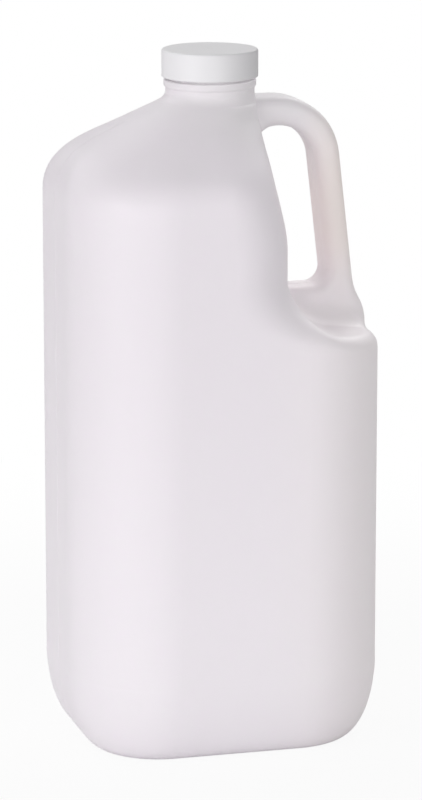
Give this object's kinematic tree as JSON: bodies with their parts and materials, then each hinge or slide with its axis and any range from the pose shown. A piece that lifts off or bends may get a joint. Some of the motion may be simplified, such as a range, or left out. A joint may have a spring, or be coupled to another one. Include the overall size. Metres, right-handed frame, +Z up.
{
  "type": "plastic jug",
  "caption": "Tall rectangular natural plastic jug with rounded corners, sloping shoulders, an upright hollow handle over a bay at one end and a round screw cap.",
  "frame": {"origin": "on the table, under the middle of the body's outline and on the neck's axis", "axes": "+Z up along the neck, +X towards the handle, Y across the narrow side, the jug being alike on both sides of Y"},
  "size_m": [0.1328, 0.1126, 0.2913],
  "materials": {
    "jug_plastic": "natural high-density polyethylene, milky, smooth with a soft sheen",
    "cap_plastic": "white polypropylene, smooth with a soft sheen",
    "disc_foam": "white polyethylene foam, dull"
  },
  "bodies": {
    "jug": {"jug_body": "jug_plastic"},
    "sealing_disc": {"liner": "disc_foam"},
    "screw_cap": {"cap": "cap_plastic"}
  },
  "joints": [
    {"name": "cap_lift", "type": "slide", "parent": "jug", "child": "sealing_disc", "axis": [0, 0, 1], "range_m": [0, 0.0127]},
    {"name": "cap_turn", "type": "hinge", "parent": "sealing_disc", "child": "screw_cap", "pos_m": [0, 0, 0.285], "axis": [0, 0, 1], "range_deg": [0, 1080]}
  ],
  "couplings": [
    {"joint": "cap_lift", "follows": "cap_turn", "m_per_rad": 0.00067375}
  ]
}
